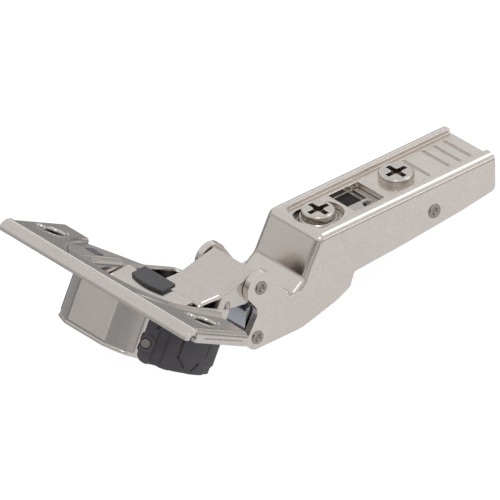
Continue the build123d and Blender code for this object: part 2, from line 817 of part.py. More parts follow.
# Bracket of the inner pin: two walls that stand on the cup's floor between
# the cheeks of the outer link
bracket_inside = inner_link_half_width + 0.2
bracket_sheet = 1.0
bracket_outside = bracket_inside + bracket_sheet
with BuildPart() as bracket:
    with BuildSketch(cup_side):
        with BuildLine():
            Polyline(
                (cup_pin_inner_at[0] - 1.4, cup_pin_inner_at[1]),
                (cup_pin_inner_at[0] + 1.4, cup_pin_inner_at[1]),
                (cup_pin_inner_at[0] + 2.6, floor_n),
                (cup_pin_inner_at[0] - 2.6, floor_n),
                close=True,
            )
        make_face()
        with Locations(cup_pin_inner_at):
            Circle(1.4)
    extrude(amount=bracket_outside, both=True)
    with BuildSketch(cup_side):
        with Locations((cup_pin_inner_at[0], floor_n + bracket_sheet + 10)):
            Rectangle(20, 20)
    extrude(amount=bracket_inside, both=True, mode=Mode.SUBTRACT)
    with BuildSketch(cup_side):
        with Locations(cup_pin_inner_at):
            Circle(inner_pin_radius)
    extrude(amount=bracket_outside + 1, both=True, mode=Mode.SUBTRACT)
bracket.part.label = "cup_pin_bracket"
export_step(bracket.part, "parts/cup_pin_bracket.step")

inner_pin = cup_pin(inner_pin_radius, -bracket_outside, bracket_outside, cup_pin_inner_at)
inner_pin.label = "cup_pin_inner"
export_step(inner_pin, "parts/cup_pin_inner.step")

lever_pin = cup_pin(lever_pin_radius, -cup_far_side, cup_near_side, lever_pivot_at)
lever_pin.label = "damper_lever_pin"
export_step(lever_pin, "parts/damper_lever_pin.step")

# Damper lever: a bent plate that the outer link presses down as the door
# closes; it carries the switch
lever_front = (11.3, -2.8)
lever_rear = (15.7, -0.5)
lever_slope = atan2(lever_rear[1] - lever_front[1], lever_rear[0] - lever_front[0])
lever_normal = (-sin(lever_slope), cos(lever_slope))
lever_foot = (lever_pivot_at[0] - 0.3, -8.8)
with BuildPart() as lever:
    with BuildSketch(cup_side):
        with BuildLine():
            FilletPolyline(
                lever_front,
                lever_rear,
                (lever_rear[0] - lever_sheet * lever_normal[0], lever_rear[1] - lever_sheet * lever_normal[1]),
                (lever_front[0] + 1.0, lever_front[1] - 0.7),
                (lever_pivot_at[0] + 1.5, lever_pivot_at[1]),
                (lever_pivot_at[0] - 1.4, lever_pivot_at[1] + 0.6),
                radius=[0.5, 0.2, 0.2, 0.6, 0.4, 0.4],
                close=True,
            )
        make_face()
        with Locations(lever_pivot_at):
            Circle(1.55)
    extrude(amount=lever_far_side, both=True)
    with BuildSketch(cup_side.offset(lever_far_side)):
        with BuildLine():
            Polyline(
                lever_front,
                lever_rear,
                (lever_rear[0] - lever_sheet * lever_normal[0], lever_rear[1] - lever_sheet * lever_normal[1]),
                (lever_front[0] - lever_sheet * lever_normal[0], lever_front[1] - lever_sheet * lever_normal[1]),
                close=True,
            )
        make_face()
    extrude(amount=plate_near_side - lever_far_side)
    with BuildSketch(cup_side.offset(lever_far_side)):
        with BuildLine():
            FilletPolyline(
                (lever_foot[0] + 0.6, lever_foot[1]),
                (lever_foot[0] - 0.6, lever_foot[1]),
                (lever_pivot_at[0] - 1.5, lever_pivot_at[1]),
                (lever_pivot_at[0] + 1.5, lever_pivot_at[1]),
                radius=[0.4, 0.4, 0.4, 0.4],
                close=True,
            )
        make_face()
        with Locations(lever_pivot_at):
            Circle(1.55)
    extrude(amount=lever_near_side - lever_far_side)
    with BuildSketch(cup_side):
        with Locations(lever_pivot_at):
            Circle(lever_pin_radius + pin_gap)
    extrude(amount=lever_near_side + 1, both=True, mode=Mode.SUBTRACT)
    # Between its two bearing ends the lever's back is cut away over the link
    with BuildSketch(cup_side):
        with Locations((lever_pivot_at[0], lever_pivot_at[1] + 0.2)):
            Rectangle(3.6, 4.0)
    extrude(amount=switch_length / 2 - 0.5, both=True, mode=Mode.SUBTRACT)
lever.part.label = "damper_lever"
export_step(lever.part, "parts/damper_lever.step")

# Switch: a dark sliding cap on the lever
switch_gap = 0.05
lever_top = Plane(
    origin=cup_side.from_local_coords((lever_rear[0], lever_rear[1], 0)),
    x_dir=(cup_side.from_local_coords((lever_rear[0], lever_rear[1], 0))
           - cup_side.from_local_coords((lever_front[0], lever_front[1], 0))).normalized(),
    z_dir=(cup_side.from_local_coords((lever_normal[0], lever_normal[1], 0))
           - cup_side.from_local_coords((0, 0, 0))).normalized(),
)
with BuildPart() as switch:
    with BuildSketch(lever_top.offset(switch_gap)):
        with Locations((-switch_width / 2 + 1.2, 0)):
            RectangleRounded(switch_width, switch_length, 0.2)
        with Locations((-switch_width + 1.2 + switch_front_radius, 0)):
            Circle(switch_front_radius, mode=Mode.INTERSECT)
    extrude(amount=switch_height)
switch.part.label = "switch"
export_step(switch.part, "parts/switch.step")

# Damper: cylinder and piston beside the links, in the near side of the cup
damper_y = (cup_inside_near + lever_far_side) / 2 - 0.4
damper_n = -10.1
damper_radius = 1.6
damper_length = 7.0
rod_reach = 7.9
rod_in_cylinder = 5.0
damper_end_plane = Plane(
    origin=cup_side.from_local_coords((17.2, damper_n, damper_y)),
    x_dir=(0, 1, 0),
    z_dir=cup_u,
)
with BuildPart() as damper_cylinder:
    with BuildSketch(damper_end_plane):
        Circle(damper_radius)
    extrude(amount=damper_length)
    with BuildSketch(damper_end_plane):
        Circle(0.85)
    extrude(amount=damper_length - 0.8, mode=Mode.SUBTRACT)
damper_cylinder.part.label = "damper_cylinder"
export_step(damper_cylinder.part, "parts/damper_cylinder.step")

with BuildPart() as damper_piston:
    with BuildSketch(damper_end_plane.offset(-rod_reach + 1.0)):
        Circle(0.8)
    extrude(amount=rod_reach - 1.0 + rod_in_cylinder)
    with BuildSketch(damper_end_plane.offset(-rod_reach)):
        with Locations((0, 0.3)):
            RectangleRounded(2.2, 2.6, 0.4)
    extrude(amount=1.0)
damper_piston.part.label = "damper_piston"
export_step(damper_piston.part, "parts/damper_piston.step")

# Plastic housing of the damper, which fills the near side of the cup's round
housing_gap = 0.05
housing_rear = 21.5
housing_radius = cup_radius - 0.1
rivet_angle = -44.5
rivet_n = -9.5
housing_rivet_radius = 1.0
panel_depth = 0.2


def housing_face(angle, n):
    """Plane that touches the housing's round side; its local y is the cup's n."""
    turn = radians(angle)
    origin = cup_plan.from_local_coords((0, 0, 0))
    across = cup_plan.from_local_coords((cos(turn), sin(turn), 0)) - origin
    outward = cup_plan.from_local_coords((sin(turn), -cos(turn), 0)) - origin
    touch = cup_plan.from_local_coords(
        (cup_offset + housing_radius * sin(turn), -housing_radius * cos(turn), n)
    )
    return Plane(origin=touch, x_dir=across, z_dir=outward)


with BuildPart() as housing:
    with BuildSketch(cup_plan.offset(-housing_depth)):
        with Locations((cup_offset, 0)):
            Circle(housing_radius)
        with BuildLine():
            cut_line = front_cut_line(-housing_gap, 2)
            Polyline(
                cut_line[0],
                (front_cut_end[0], -cup_near_side - housing_gap),
                (housing_rear, -cup_near_side - housing_gap),
                (housing_rear, -25),
                (cut_line[0][0], -25),
                close=True,
            )
        make_face(mode=Mode.INTERSECT)
    extrude(amount=housing_depth)
    with BuildSketch(cup_side):
        with BuildLine():
            Polyline(
                (-5, 3),
                (-5, -flange_sheet - housing_gap),
                (2, -flange_sheet - housing_gap),
                (plate_end, -plate_drop - flange_sheet - housing_gap),
                (plate_end + 5, 3),
                close=True,
            )
        make_face()
    extrude(amount=30, mode=Mode.SUBTRACT)
    # Hole of the rivet, a small gate hole and an upright hollow
    with BuildSketch(housing_face(rivet_angle, rivet_n)):
        Circle(housing_rivet_radius)
    extrude(amount=2, both=True, mode=Mode.SUBTRACT)
    with BuildSketch(housing_face(-39.8, -5.6)):
        Circle(0.45)
    extrude(amount=-0.6, mode=Mode.SUBTRACT)
    with BuildSketch(housing_face(-33, -9.8)):
        RectangleRounded(1.5, 6.4, 0.6)
    extrude(amount=-0.4, mode=Mode.SUBTRACT)
    # Parting lines of the housing's cover
    for line_angle, line_n, line_length in ((-20, -8.7, 3.8), (1.7, -8.3, 2.8)):
        with BuildSketch(housing_face(line_angle, line_n)):
            Rectangle(0.25, line_length)
        extrude(amount=-panel_depth, mode=Mode.SUBTRACT)
    with BuildSketch(housing_face(-17, -11.4)):
        Rectangle(2.6, 0.25, rotation=-45)
    extrude(amount=-panel_depth - 0.1, mode=Mode.SUBTRACT)
    with BuildSketch(housing_face(-5.4, -12.0)):
        Rectangle(1.9, 0.5, rotation=49)
    extrude(amount=-panel_depth - 0.2, mode=Mode.SUBTRACT)
housing.part.label = "damper_housing"
export_step(housing.part, "parts/damper_housing.step")

# Rivet that holds the housing on the drawn cup
with BuildPart() as housing_rivet:
    with BuildSketch(housing_face(rivet_angle, rivet_n).offset(-0.15)):
        Circle(housing_rivet_radius)
    extrude(amount=0.35)
    fillet(housing_rivet.edges().sort_by(Axis(housing_face(rivet_angle, rivet_n).origin,
                                              housing_face(rivet_angle, rivet_n).z_dir))[-1], 0.2)
housing_rivet.part.label = "housing_rivet"
export_step(housing_rivet.part, "parts/housing_rivet.step")

# Plastic filler of the far side, with the tab that shows through the plate
filler_front = 12.0
with BuildPart() as filler:
    with BuildSketch(cup_plan.offset(-housing_depth)):
        with Locations((cup_offset, 0)):
            Circle(cup_radius - 0.1)
        with Locations((cup_offset + filler_front / 2, cup_far_side + housing_gap + 5)):
            Rectangle(40 - filler_front, 10, mode=Mode.INTERSECT)
    extrude(amount=housing_depth)
    with BuildSketch(cup_side):
        with BuildLine():
            Polyline(
                (-5, 3), (-5, -flange_sheet - housing_gap), (2, -flange_sheet - housing_gap),
                (plate_end + 6, -plate_drop - flange_sheet - housing_gap - 6 * plate_slope),
                (plate_end + 6, 3), close=True,
            )
        make_face()
    extrude(amount=-30, mode=Mode.SUBTRACT)
    with BuildSketch(cup_plan.offset(-4)):
        with Locations((11.4, 14.2)):
            Rectangle(2.4, 3.3)
    extrude(amount=4 - 9.4 * plate_slope + 0.15)
filler.part.label = "far_filler"
export_step(filler.part, "parts/far_filler.step")
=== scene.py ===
"""Concealed cup hinge, fully open: finishes, floor, light and camera.

Metres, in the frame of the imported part. +X runs along the arm to its rear
end, +Z is up through the arm's top, and the photograph's near side is -Y.
"""

import math

import bpy
import numpy as np
from mathutils import Matrix, Vector


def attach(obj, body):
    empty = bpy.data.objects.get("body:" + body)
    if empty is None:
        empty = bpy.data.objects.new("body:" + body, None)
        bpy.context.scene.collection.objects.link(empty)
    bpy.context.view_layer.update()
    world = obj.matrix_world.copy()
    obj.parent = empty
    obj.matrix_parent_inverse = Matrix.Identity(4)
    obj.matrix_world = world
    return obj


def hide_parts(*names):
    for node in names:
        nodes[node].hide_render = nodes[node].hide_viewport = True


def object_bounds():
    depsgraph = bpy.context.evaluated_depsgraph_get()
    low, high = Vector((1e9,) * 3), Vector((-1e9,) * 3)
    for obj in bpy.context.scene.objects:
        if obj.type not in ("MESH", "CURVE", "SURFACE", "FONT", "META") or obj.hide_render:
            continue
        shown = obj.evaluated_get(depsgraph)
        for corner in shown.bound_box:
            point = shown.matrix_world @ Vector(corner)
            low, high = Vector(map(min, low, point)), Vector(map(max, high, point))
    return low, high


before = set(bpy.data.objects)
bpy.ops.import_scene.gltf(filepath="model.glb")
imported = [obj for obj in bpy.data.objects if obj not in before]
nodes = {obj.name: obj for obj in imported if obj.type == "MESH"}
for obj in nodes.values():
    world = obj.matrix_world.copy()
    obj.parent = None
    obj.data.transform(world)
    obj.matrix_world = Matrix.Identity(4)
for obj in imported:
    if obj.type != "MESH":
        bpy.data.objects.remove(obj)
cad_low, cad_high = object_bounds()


# Arm: one pressing of 1.5 mm steel, folded to a channel, barrel-nickelled.
# The satin comes from the rolled sheet under the plating; the folds and cut edges get a painted
# highlight.
def node(tree, kind, **settings):
    """Add a shader node; settings named after its sockets or properties are set."""
    made = tree.nodes.new(kind)
    for name, value in settings.items():
        if hasattr(made, name):
            setattr(made, name, value)
        else:
            made.inputs[name.replace("_", " ")].default_value = value
    return made


def link(tree, start, start_socket, end, end_socket):
    """Join one output to one input."""
    tree.links.new(start.outputs[start_socket], end.inputs[end_socket])


def new_material(name):
    """An empty node material, with its tree and its output node."""
    made = bpy.data.materials.new(name)
    made.use_nodes = True
    made.node_tree.nodes.clear()
    return made, made.node_tree, node(made.node_tree, "ShaderNodeOutputMaterial")


def ranged(tree, source, socket, start, stop, low=0.0, high=1.0):
    """Map an output from start and stop to low and high, and clamp it."""
    made = node(tree, "ShaderNodeMapRange")
    limits = (("From Min", start), ("From Max", stop), ("To Min", low), ("To Max", high))
    for name, value in limits:
        made.inputs[name].default_value = value
    link(tree, source, socket, made, "Value")
    return made


def dot_with(tree, source, socket, vector):
    """Dot product of an output with a fixed vector."""
    made = node(tree, "ShaderNodeVectorMath", operation="DOT_PRODUCT")
    link(tree, source, socket, made, 0)
    made.inputs[1].default_value = vector
    return made


def edge_share(tree, rounded, stop, high=1.0):
    """Zero on flats and high on edges: the dot product of a rounded normal and the true
    one falls from one towards stop as the rounding turns."""
    true_normal = node(tree, "ShaderNodeNewGeometry")
    aligned = node(tree, "ShaderNodeVectorMath", operation="DOT_PRODUCT")
    link(tree, rounded, "Normal", aligned, 0)
    link(tree, true_normal, "Normal", aligned, 1)
    return ranged(tree, aligned, "Value", 1.0, stop, high=high)


def mixed(tree, share, first, second, blend="MIX"):
    """Mix two colours by a share; each of the three is a socket or a fixed value."""
    made = node(tree, "ShaderNodeMix", data_type="RGBA", blend_type=blend)
    for socket, value in ((0, share), (6, first), (7, second)):
        if isinstance(value, bpy.types.NodeSocket):
            tree.links.new(value, made.inputs[socket])
        else:
            made.inputs[socket].default_value = value
    return made.outputs[2]


def shade_of(colour, factor):
    """A colour times a factor, at most one, with full alpha."""
    return tuple(min(1.0, factor * c) for c in colour) + (1.0,)


def plated_steel(name, colour, roughness, grain=(1, 1, 1), edge=0.25, rounding=0.00022):
    """Satin nickel on pressed steel.

    Colour is the plating, clouded by a broad noise, lifted on the edges by a
    painted highlight and speckled by a fine noise. The edges are found where a
    rounded normal leaves the true one. The bump is a noise stretched along the
    rolling direction.
    """
    steel, tree, out = new_material(name)
    shader = node(tree, "ShaderNodeBsdfPrincipled", Metallic=1.0)
    link(tree, shader, "BSDF", out, "Surface")
    place = node(tree, "ShaderNodeTexCoord")
    rolled = node(tree, "ShaderNodeMapping")
    rolled.inputs["Scale"].default_value = grain
    link(tree, place, "Object", rolled, "Vector")

    cloud = node(tree, "ShaderNodeTexNoise", Scale=140.0, Detail=3.0, Roughness=0.6)
    link(tree, place, "Object", cloud, "Vector")
    fine = node(tree, "ShaderNodeTexNoise", Scale=3600.0, Detail=2.0, Roughness=0.6)
    link(tree, rolled, "Vector", fine, "Vector")
    speck = node(tree, "ShaderNodeTexNoise", Scale=4200.0, Detail=2.0, Roughness=0.6)
    link(tree, place, "Object", speck, "Vector")

    rounded = node(tree, "ShaderNodeBevel", samples=6)
    rounded.inputs["Radius"].default_value = rounding
    wide = node(tree, "ShaderNodeBevel", samples=4)
    wide.inputs["Radius"].default_value = rounding * 1.6
    on_edge = edge_share(tree, wide, 0.86)

    # painted highlight: the edges' colour is lifted towards pale grey
    bright = tuple(c + edge * (0.97 - c) for c in colour) + (1.0,)
    clouded = mixed(tree, cloud.outputs["Fac"], shade_of(colour, 0.93), shade_of(colour, 1.05))
    edge_lit = mixed(tree, on_edge.outputs["Result"], clouded, bright)
    grainy = ranged(tree, speck, "Fac", 0.32, 0.68, 0.94, 1.10)
    speckled = mixed(tree, 1.0, edge_lit, grainy.outputs["Result"], "MULTIPLY")
    tree.links.new(speckled, shader.inputs["Base Color"])

    gloss = ranged(tree, cloud, "Fac", 0.0, 1.0, roughness - 0.05, roughness + 0.06)
    link(tree, gloss, "Result", shader, "Roughness")

    satin = node(tree, "ShaderNodeBump", Strength=0.07, Distance=0.00002)
    link(tree, fine, "Fac", satin, "Height")
    link(tree, rounded, "Normal", satin, "Normal")
    link(tree, satin, "Normal", shader, "Normal")
    return steel


def finish(name, material):
    """Give a node of the frame its material."""
    piece = nodes[name]
    piece.data.materials.clear()
    piece.data.materials.append(material)


arm_nickel = plated_steel("arm_nickel", (0.73, 0.675, 0.63), 0.20, grain=(0.18, 1, 1))
finish("arm", arm_nickel)

# Rivets and pins: cold-headed steel, turned and oiled, darker than the
# plating, with heads peened flush on the arm's ears.
pin_steel = plated_steel("pin_steel", (0.36, 0.31, 0.28), 0.3, edge=0.4, rounding=0.00012)
for pin in ("arm_pin_lower", "arm_rivets_upper", "cup_studs_outer", "cup_pin_inner",
            "damper_lever_pin", "clip_lever_pin", "damper_piston", "housing_rivet"):
    finish(pin, pin_steel)

# Catch and its spring: the lever is folded sheet, and the spring is coiled
# wire on the lever's pin, blued and oiled.
catch_nickel = plated_steel("catch_nickel", (0.60, 0.56, 0.53), 0.3)
finish("clip_lever", catch_nickel)
spring_steel = plated_steel("spring_steel", (0.42, 0.40, 0.38), 0.25, rounding=0.00005)
finish("clip_spring", spring_steel)

# Adapter: inner channel of nickelled sheet that slides under the arm's top,
# with the threaded collar riveted on it.
adapter_nickel = plated_steel("adapter_nickel", (0.55, 0.515, 0.48), 0.26, grain=(0.2, 1, 1))
finish("adapter", adapter_nickel)
finish("side_adjust_collar", adapter_nickel)


# Adjusting screws: nickelled, cold-headed, with a pressed cross recess, whose walls get painted
# shade; the side screw runs in the collar, and the rear one turns an eccentric stud.
def dim_where(steel, share, colour):
    """Mix a darker colour into a steel's own, by the share that a socket gives."""
    tree = steel.node_tree
    shader = next(n for n in tree.nodes if n.type == "BSDF_PRINCIPLED")
    own_colour = shader.inputs["Base Color"].links[0].from_socket
    dimmed = mixed(tree, share, own_colour, shade_of(colour, 1.0))
    tree.links.new(dimmed, shader.inputs["Base Color"])


def times(tree, first, first_socket, second, second_socket):
    """Multiply two outputs."""
    product = node(tree, "ShaderNodeMath", operation="MULTIPLY")
    link(tree, first, first_socket, product, 0)
    link(tree, second, second_socket, product, 1)
    return product


def fixed_maths(tree, operation, source, socket, value):
    """A Math node on an output and a fixed value."""
    made = node(tree, "ShaderNodeMath", operation=operation)
    link(tree, source, socket, made, 0)
    made.inputs[1].default_value = value
    return made


def within(tree, across, across_socket, side, side_socket, radius):
    """One where two lengths, across and side, are the legs of less than the radius."""
    flat = node(tree, "ShaderNodeCombineXYZ")
    link(tree, across, across_socket, flat, "X")
    link(tree, side, side_socket, flat, "Y")
    reach = node(tree, "ShaderNodeVectorMath", operation="LENGTH")
    link(tree, flat, "Vector", reach, 0)
    return fixed_maths(tree, "LESS_THAN", reach, "Value", radius)


def paint_recess_shade(steel, axis_x, top):
    """Painted shade in a screw's cross recess: darker where the place is below the head's top
    and nearer to the screw's axis, an upright line through (axis_x, 0), than the recess reaches."""
    reach, rim_depth, dark_depth = 0.0024, 0.00012, 0.00050
    tree = steel.node_tree
    place = node(tree, "ShaderNodeTexCoord")
    apart = node(tree, "ShaderNodeSeparateXYZ")
    link(tree, place, "Object", apart, "Vector")
    shifted = fixed_maths(tree, "SUBTRACT", apart, "X", axis_x)
    inside = within(tree, shifted, "Value", apart, "Y", reach)
    depth = ranged(tree, apart, "Z", top - rim_depth, top - dark_depth)
    share = times(tree, inside, "Value", depth, "Result")
    # painted shade colour for the recess walls
    dim_where(steel, share.outputs["Value"], (0.25, 0.215, 0.19))


head_nickel = (0.66, 0.62, 0.58)
for screw, axis_x in (("side_adjust_screw", -0.0172), ("depth_adjust_screw", 0.0042)):
    head_top = max(corner[2] for corner in nodes[screw].bound_box)
    screw_nickel = plated_steel(screw + "_nickel", head_nickel, 0.2, edge=0.35, rounding=0.00015)
    paint_recess_shade(screw_nickel, axis_x, head_top)
    finish(screw, screw_nickel)

# Outer link, lever and bracket: folded steel, bright nickel. The lever lies
# across the opening of the cup, and the bracket is riveted to its floor.
sheet_nickel = (0.68, 0.635, 0.60)
link_nickel = plated_steel("link_nickel", sheet_nickel, 0.19)
finish("outer_link", link_nickel)
finish("damper_lever", link_nickel)
finish("cup_pin_bracket", link_nickel)

# Inner link: a thick curved bar, stamped and hardened, with a bluish grey
# plating; it turns on the lower rivet of the arm.
hardened_steel = plated_steel("hardened_steel", (0.46, 0.49, 0.54), 0.22)
finish("inner_link", hardened_steel)

# Cup: deep-drawn steel with its screw flange, the rolled front edge and
# the turned-down ends; nickelled like the arm.
cup_origin = np.array((-0.0748, 0.0, 0.0128))
tilt = math.radians(26.3)
along_u = np.array((math.cos(tilt), 0.0, -math.sin(tilt)))
along_n = np.array((math.sin(tilt), 0.0, math.cos(tilt)))


def place_in_cup(tree):
    """Object coordinates measured from the cup's own origin."""
    place = node(tree, "ShaderNodeTexCoord")
    shifted = node(tree, "ShaderNodeVectorMath", operation="SUBTRACT")
    link(tree, place, "Object", shifted, 0)
    shifted.inputs[1].default_value = tuple(cup_origin)
    return shifted


def paint_inside_shade(steel, low, high):
    """The inside of a pressing, darkened by painted shade.

    Object coordinates are turned into the cup's u, side and n by three dot
    products, each is compared with the inside's two limits, and a circle
    round the cup's centre keeps the outer walls bright.
    """
    centre_u, radius = 0.017, 0.01665
    tree = steel.node_tree
    shifted = place_in_cup(tree)
    share = None
    axes = (tuple(along_u), (0.0, -1.0, 0.0), tuple(along_n))
    for axis, least, most in zip(axes, low, high):
        along = dot_with(tree, shifted, "Vector", axis)
        for limit, kind in ((least, "GREATER_THAN"), (most, "LESS_THAN")):
            test = fixed_maths(tree, kind, along, "Value", limit)
            share = test if share is None else times(tree, share, "Value", test, "Value")
    along = dot_with(tree, shifted, "Vector", axes[0])
    from_centre = fixed_maths(tree, "SUBTRACT", along, "Value", centre_u)
    sideways = node(tree, "ShaderNodeSeparateXYZ")
    link(tree, shifted, "Vector", sideways, 0)
    in_circle = within(tree, from_centre, "Value", sideways, "Y", radius)
    both = times(tree, share, "Value", in_circle, "Value")
    dim_where(steel, both.outputs["Value"], (0.10, 0.085, 0.075))


cup_nickel = plated_steel("cup_nickel", sheet_nickel, 0.20, grain=(1, 0.18, 1))
inside_low = (0.0012, -0.0093, -0.0127)
inside_high = (0.0330, 0.0122, -0.0016)
# painted shade darkens the walls inside the cup's cavity
paint_inside_shade(cup_nickel, inside_low, inside_high)
finish("cup", cup_nickel)


# Plastic parts: glass-filled nylon, moulded with a fine spark texture, dark grey with a dull
# sheen and a painted highlight on the edges.
def moulded_plastic(name, colour, roughness=0.5):
    """Dark moulded plastic: speckled colour, spark-eroded bump, edges lifted by a painted
    highlight.
    """
    plastic, tree, out = new_material(name)
    shader = node(tree, "ShaderNodeBsdfPrincipled", Metallic=0.0)
    link(tree, shader, "BSDF", out, "Surface")
    place = node(tree, "ShaderNodeTexCoord")
    speckle = node(tree, "ShaderNodeTexNoise", Scale=2600.0, Detail=3.0, Roughness=0.65)
    link(tree, place, "Object", speckle, "Vector")
    cloud = node(tree, "ShaderNodeTexNoise", Scale=220.0, Detail=2.0)
    link(tree, place, "Object", cloud, "Vector")
    shade = mixed(tree, cloud.outputs["Fac"], shade_of(colour, 0.8), shade_of(colour, 1.25))
    rounded = node(tree, "ShaderNodeBevel", samples=6)
    rounded.inputs["Radius"].default_value = 0.00035
    on_edge = edge_share(tree, rounded, 0.82, 0.5)
    # painted highlight: the edges are lightened to 2.4 times the colour
    edge_lit = mixed(tree, on_edge.outputs["Result"], shade, shade_of(colour, 2.4))
    tree.links.new(edge_lit, shader.inputs["Base Color"])
    gloss = ranged(tree, speckle, "Fac", 0.0, 1.0, roughness - 0.08, roughness + 0.08)
    link(tree, gloss, "Result", shader, "Roughness")
    texture = node(tree, "ShaderNodeBump", Strength=0.35, Distance=0.00003)
    link(tree, speckle, "Fac", texture, "Height")
    link(tree, rounded, "Normal", texture, "Normal")
    link(tree, texture, "Normal", shader, "Normal")
    return plastic


housing_plastic = moulded_plastic("housing_plastic", (0.125, 0.118, 0.132))
finish("far_filler", housing_plastic)

# Housing of the damper: one moulding that fills the near side of the cup's
# circle, with a boss round its rivet, a drawn-in hollow, a raised cover and
# rounded lower edges. It is pushed on the drawn cup and riveted.
cup_centre = 17.0
housing_radius = 17.3


def in_cup(u, near, n):
    """Points of the row frame, in metres, from the cup's own u, near side and n in mm."""
    u, near, n = np.broadcast_arrays(u, near, n)
    point = cup_origin + 0.001 * (u[..., None] * along_u + n[..., None] * along_n)
    point[..., 1] -= 0.001 * near
    return point


def smooth(low, high, value):
    """Zero below low, one above high, with a cubic between: t squared times (3 - 2t)."""
    t = np.clip((value - low) / (high - low), 0.0, 1.0)
    return t * t * (3.0 - 2.0 * t)


def groove(along, level, start, end, half_width):
    """One on the line between two points of the (along, level) plane, falling smoothly to
    zero at half_width from it: the distance is measured to the nearest point of the line."""
    line = np.array(end) - np.array(start)
    share = ((along - start[0]) * line[0] + (level - start[1]) * line[1]) / (line @ line)
    share = np.clip(share, 0.0, 1.0)
    gap = np.hypot(along - start[0] - share * line[0], level - start[1] - share * line[1])
    return 1.0 - smooth(0.4 * half_width, half_width, gap)


def closed_shell(name, outer, inner, material, ring_shaped=False):
    """A closed body between two grids of the same size, whose borders are joined by strips.

    A ring-shaped one drops its last row of each grid, which repeats the first, and
    joins the rows all the way round. The faces are turned over if the volume, the
    sum of (a x b) . c / 6 over the triangles, comes out negative.
    """
    if ring_shaped:
        outer, inner = outer[:-1], inner[:-1]
    rows, columns = outer.shape[:2]
    count = rows * columns
    points = np.concatenate((outer.reshape(-1, 3), inner.reshape(-1, 3)))
    index = np.arange(count).reshape(rows, columns)
    a, b, c, d = index[:-1, :-1], index[:-1, 1:], index[1:, 1:], index[1:, :-1]
    front = np.stack((a, b, c, d), axis=-1).reshape(-1, 4)
    back = np.stack((d, c, b, a), axis=-1).reshape(-1, 4) + count
    if ring_shaped:
        a, b, c, d = index[-1, :-1], index[-1, 1:], index[0, 1:], index[0, :-1]
        front = np.concatenate((front, np.stack((a, b, c, d), axis=-1)))
        back = np.concatenate((back, np.stack((d, c, b, a), axis=-1) + count))
        borders = (index[::-1, 0], index[:, -1])
    else:
        edges = (index[0, :-1], index[:-1, -1], index[-1, :0:-1], index[:0:-1, 0])
        borders = (np.concatenate(edges),)
    sides = []
    for ring in borders:
        after = np.roll(ring, -1)
        sides.append(np.stack((after, ring, ring + count, after + count), axis=-1))
    faces = np.concatenate([front, back] + sides)
    first, second, third, fourth = (points[faces[:, k]] for k in range(4))
    volume = np.sum(np.cross(first, second) * third) + np.sum(np.cross(first, third) * fourth)
    if volume < 0:
        faces = faces[:, ::-1]
    made = bpy.data.meshes.new(name)
    made.from_pydata(points.tolist(), [], faces.tolist())
    made.validate()
    made.shade_smooth()
    piece = bpy.data.objects.new(name, made)
    bpy.context.scene.collection.objects.link(piece)
    made.materials.append(material)
    return piece


